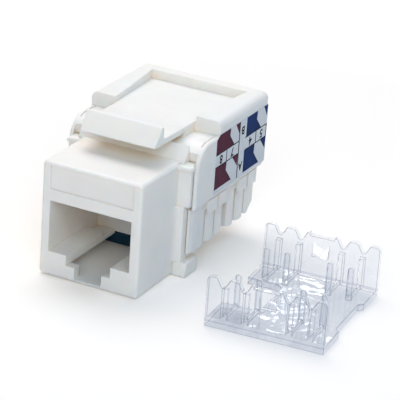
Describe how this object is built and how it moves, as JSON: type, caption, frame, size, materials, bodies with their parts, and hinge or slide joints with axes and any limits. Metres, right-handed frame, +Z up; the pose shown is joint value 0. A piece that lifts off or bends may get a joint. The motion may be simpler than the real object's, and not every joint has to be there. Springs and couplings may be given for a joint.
{
  "type": "keystone jack",
  "caption": "White snap-in keystone jack with a modular plug port, a sprung panel latch, rows of punch-down wire towers and a clear wire cap taken off and lying beside it.",
  "frame": {"origin": "middle of the front block's underside, on the table", "axes": "+Z up; the plug port faces -Y; +X is right as seen from the port, and the cap lies on that side"},
  "size_m": [0.0433, 0.0321, 0.0207],
  "materials": {
    "white_plastic": "satin moulded white",
    "navy_plastic": "dark moulded insert",
    "board": "solder-masked laminate",
    "contact_gold": "gold-plated spring wire",
    "terminal_metal": "tin-plated sheet",
    "label_film": "printed film",
    "clear_plastic": "clear moulded"
  },
  "bodies": {
    "root": {"front_housing": "white_plastic", "rear_cover": "white_plastic", "idc_block": "white_plastic", "circuit_board": "board", "contact_carrier": "navy_plastic", "wiring_label": "label_film", "dust_cap": "clear_plastic", "contact_tail_1": "contact_gold", "contact_tail_2": "contact_gold", "contact_tail_3": "contact_gold", "contact_tail_4": "contact_gold", "contact_tail_5": "contact_gold", "contact_tail_6": "contact_gold", "contact_tail_7": "contact_gold", "contact_tail_8": "contact_gold", "idc_terminal_1": "terminal_metal", "idc_terminal_2": "terminal_metal", "idc_terminal_3": "terminal_metal", "idc_terminal_4": "terminal_metal", "idc_terminal_5": "terminal_metal", "idc_terminal_6": "terminal_metal", "idc_terminal_7": "terminal_metal", "idc_terminal_8": "terminal_metal"},
    "latch": {"keystone_latch": "white_plastic"},
    "contact_1": {"contact_spring_1": "contact_gold"},
    "contact_2": {"contact_spring_2": "contact_gold"},
    "contact_3": {"contact_spring_3": "contact_gold"},
    "contact_4": {"contact_spring_4": "contact_gold"},
    "contact_5": {"contact_spring_5": "contact_gold"},
    "contact_6": {"contact_spring_6": "contact_gold"},
    "contact_7": {"contact_spring_7": "contact_gold"},
    "contact_8": {"contact_spring_8": "contact_gold"}
  },
  "joints": [
    {"name": "latch_flex", "type": "hinge", "parent": "root", "child": "latch", "pos_m": [0, 0.0084, 0.01825], "axis": [1, 0, 0], "range_deg": [0, 12], "stiffness_Nm_per_rad": 0.2},
    {"name": "contact_1_flex", "type": "hinge", "parent": "root", "child": "contact_1", "pos_m": [-0.00357, -0.0019, 0.01025], "axis": [1, 0, 0], "range_deg": [0, 10], "stiffness_Nm_per_rad": 0.05},
    {"name": "contact_2_flex", "type": "hinge", "parent": "root", "child": "contact_2", "pos_m": [-0.00255, -0.0019, 0.01025], "axis": [1, 0, 0], "range_deg": [0, 10], "stiffness_Nm_per_rad": 0.05},
    {"name": "contact_3_flex", "type": "hinge", "parent": "root", "child": "contact_3", "pos_m": [-0.00153, -0.0019, 0.01025], "axis": [1, 0, 0], "range_deg": [0, 10], "stiffness_Nm_per_rad": 0.05},
    {"name": "contact_4_flex", "type": "hinge", "parent": "root", "child": "contact_4", "pos_m": [-0.00051, -0.0019, 0.01025], "axis": [1, 0, 0], "range_deg": [0, 10], "stiffness_Nm_per_rad": 0.05},
    {"name": "contact_5_flex", "type": "hinge", "parent": "root", "child": "contact_5", "pos_m": [0.00051, -0.0019, 0.01025], "axis": [1, 0, 0], "range_deg": [0, 10], "stiffness_Nm_per_rad": 0.05},
    {"name": "contact_6_flex", "type": "hinge", "parent": "root", "child": "contact_6", "pos_m": [0.00153, -0.0019, 0.01025], "axis": [1, 0, 0], "range_deg": [0, 10], "stiffness_Nm_per_rad": 0.05},
    {"name": "contact_7_flex", "type": "hinge", "parent": "root", "child": "contact_7", "pos_m": [0.00255, -0.0019, 0.01025], "axis": [1, 0, 0], "range_deg": [0, 10], "stiffness_Nm_per_rad": 0.05},
    {"name": "contact_8_flex", "type": "hinge", "parent": "root", "child": "contact_8", "pos_m": [0.00357, -0.0019, 0.01025], "axis": [1, 0, 0], "range_deg": [0, 10], "stiffness_Nm_per_rad": 0.05}
  ]
}
